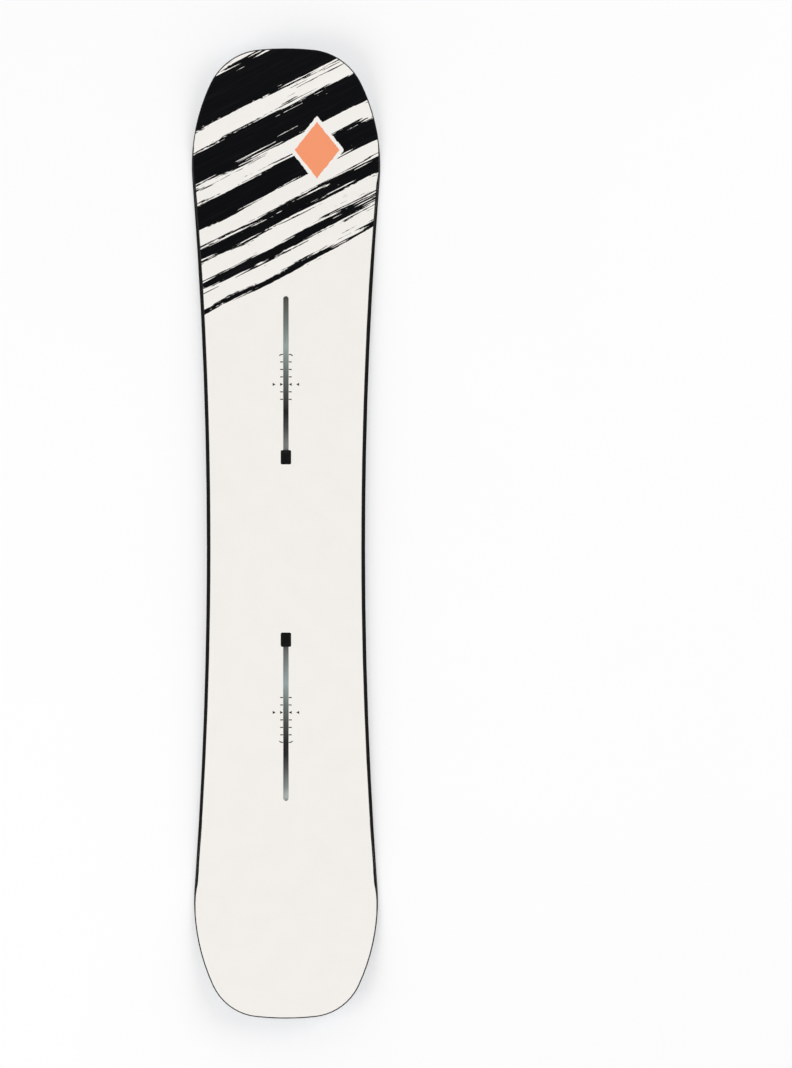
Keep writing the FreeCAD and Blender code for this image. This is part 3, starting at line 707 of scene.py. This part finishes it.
def mouldPlug(node, name, body):
    part = plugParts
    low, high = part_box(node)
    centre = (low + high) / 2
    halfX, halfY = (high.x - low.x) / 2, (high.y - low.y) / 2
    seat, top, floor = high.z - part["capDeep"], high.z, high.z - part["dish"]
    stages = [  # inset from the cap's outline, corner and height, from the stem's foot to the dished face
        (part["stemIn"] + part["footIn"], part["stemCorner"], low.z),
        (part["stemIn"], part["stemCorner"], low.z + part["footHigh"]),
        (part["stemIn"], part["stemCorner"], seat), (0.0, part["corner"], seat),
    ]
    for turn in range(part["rollTurns"] + 1):
        angle = math.pi / 2 * turn / part["rollTurns"]
        inset, drop = part["roll"] * (1 - math.cos(angle)), part["roll"] * (1 - math.sin(angle))
        stages.append((inset, part["corner"], top - drop))
    dished = part["roll"] + part["rim"]
    stages += [(dished + run, part["corner"], top - part["dish"] * share) for run, share in part["slope"]]
    stages.append((dished + part["dishIn"], part["corner"] * part["dishCorner"], floor))
    points, faces = [], []
    for inset, corner, height in stages:
        corner = max(corner - inset * part["cornerEase"], part["leastCorner"])
        points += [(centre.x + x, centre.y + y, height)
                   for x, y in ringOf(halfX - inset, halfY - inset, corner, part["turns"])]
    count = len(points) // len(stages)
    for stage in range(len(stages) - 1):
        faces.extend(wallUp(stage * count, (stage + 1) * count, count))
    faces.append([i for i in reversed(range(count))])
    faces.append([(len(stages) - 1) * count + i for i in range(count)])
    ribLevels = [  # share of the rib's width and height, from below the dished face to the rib's top
        (1.0, floor - part["ribSunk"]), (0.92, floor + part["ribProud"] * 0.4),
        (0.7, floor + part["ribProud"]),
    ]
    for rib in range(part["ribs"]):
        y = centre.y + (rib - (part["ribs"] - 1) / 2) * part["ribStep"]
        ends = (centre.x - part["ribLong"] / 2, y), (centre.x + part["ribLong"] / 2, y)
        outline = order(roundBar(*ends, part["ribWide"], part["turns"]))
        first, size = len(points), len(outline)
        for shrink, height in ribLevels:
            pinch = 1 - (1 - shrink) * part["ribPinch"]
            for px, py in outline:
                points.append((centre.x + (px - centre.x) * pinch, y + (py - y) * shrink, height))
        for level in range(len(ribLevels) - 1):
            faces.extend(wallUp(first + level * size, first + (level + 1) * size, size))
        faces.append([first + i for i in reversed(range(size))])
        faces.append([first + (len(ribLevels) - 1) * size + i for i in range(size)])
    plug = addPiece(name, points, faces, rubberFinish, part["smooth"])
    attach(plug, body)
    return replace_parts(plug, node)


mouldPlug("front_plug", "front_plug_moulded", "plug_front")
mouldPlug("rear_plug", "rear_plug_moulded", "plug_rear")
print("plugs moulded")


# Studio: a white floor, an even world with a dimmer ceiling, and two broad soft lamps.
studio = {
    "floorReach": 70.0, "floorRings": 6, "floorTurns": 48, "floorDrop": 0.0001,
    "floorTone": 0.975, "floorPaler": 0.008, "floorGlow": 0.35,
    "farFrom": 1.1, "farTo": 3.2,  # the far floor shines white, the near one takes shadow
    "worldSide": 1.0, "worldTop": 0.5, "domeFrom": 0.15, "domeTo": 0.9,
    "lamps": [
        {"name": "softKey", "at": (-3.4, -1.6, 3.9), "size": 3.2, "power": 88.0},
        {"name": "softFill", "at": (3.6, 1.2, 3.7), "size": 3.2, "power": 68.0},
    ],
    "lens": 300.0, "sensor": 36.0, "fieldHigh": 1.787, "clipEnd": 200.0,
    "cameraX": 0.1842, "cameraY": -0.0008, "aimZ": 0.018,
}


def floorLook(start):
    place = objectPlace(start)
    tone = place.noise((3.0, 3.0, 1.0), 2.0).rise(0.2, 0.8)
    level = studio["floorTone"]
    return {"Base Color": tone.paint(grey(level), grey(level + studio["floorPaler"]))}


def layFloor():
    reach, rings, turns = studio["floorReach"], studio["floorRings"], studio["floorTurns"]
    angles = [math.tau * i / turns for i in range(turns)]
    points, faces = [(0.0, 0.0, 0.0)], []
    for ring in range(1, rings + 1):
        size = reach * (ring / rings) ** 2
        points += [(size * math.cos(angle), size * math.sin(angle), 0.0) for angle in angles]
    for i in range(turns):
        after = (i + 1) % turns
        faces.append([0, 1 + i, 1 + after])
        for ring in range(rings - 1):
            a, b = 1 + ring * turns, 1 + (ring + 1) * turns
            faces.append([a + i, b + i, b + after, a + after])
    finish = makeFinish("floorWhite", {"Roughness": 1.0, "Specular IOR Level": 0.0}, floorLook)
    floor = addPiece("studio_floor", points, faces, finish)
    floor.location.z = cadBox[0].z - studio["floorDrop"]
    start, tree = Wire(finish.node_tree), finish.node_tree
    glow = start.node("ShaderNodeEmission", None, {"Color": grey(1.0), "Strength": 1.0})
    middle = objectPlace(start)
    away = start.node("ShaderNodeVectorMath", {"operation": "LENGTH"}, {0: middle}, out="Value")
    far = away.rise(studio["farFrom"], studio["farTo"])
    seen = start.node("ShaderNodeLightPath", out="Is Camera Ray") * far.most(studio["floorGlow"])
    plain = Wire(tree, tree.nodes["Principled BSDF"].outputs[0])
    mixed = start.node("ShaderNodeMixShader", None, {0: seen, 1: plain, 2: glow})
    start.join(tree.nodes["Material Output"].inputs["Surface"], mixed)


def lightWorld():
    world = bpy.data.worlds.new("studioWorld")
    bpy.context.scene.world = world
    world.use_nodes = True
    start = Wire(world.node_tree)
    background = world.node_tree.nodes["Background"]
    up = start.node("ShaderNodeTexCoord", out="Generated").split()[2]
    camera = start.node("ShaderNodeLightPath", out="Is Camera Ray")
    high = up.rise(studio["domeFrom"], studio["domeTo"])
    dome = high.paint(grey(studio["worldSide"]), grey(studio["worldTop"]))
    start.join(background.inputs["Color"], camera.paint(dome, grey(1.0)))
    background.inputs["Strength"].default_value = 1.0


def hangLamps():
    for plan in studio["lamps"]:
        light = bpy.data.lights.new(plan["name"], "AREA")
        light.shape, light.size, light.energy = "SQUARE", plan["size"], plan["power"]
        lamp = bpy.data.objects.new(plan["name"], light)
        bpy.context.scene.collection.objects.link(lamp)
        lamp.location = plan["at"]
        lamp.rotation_mode = "QUATERNION"
        lamp.rotation_quaternion = (-Vector(plan["at"])).to_track_quat("-Z", "Y")
        lamp.visible_camera = False


def setCamera():
    data = bpy.data.cameras.new("studioCamera")
    data.type, data.lens, data.sensor_width = "PERSP", studio["lens"], studio["sensor"]
    data.clip_end = studio["clipEnd"]
    camera = bpy.data.objects.new("studioCamera", data)
    bpy.context.scene.collection.objects.link(camera)
    away = studio["fieldHigh"] * studio["lens"] / studio["sensor"]
    camera.location = (studio["cameraX"], studio["cameraY"], studio["aimZ"] + away)
    bpy.context.scene.camera = camera


layFloor()
lightWorld()
hangLamps()
setCamera()
bpy.context.scene.view_settings.view_transform = "Standard"
print("studio set")
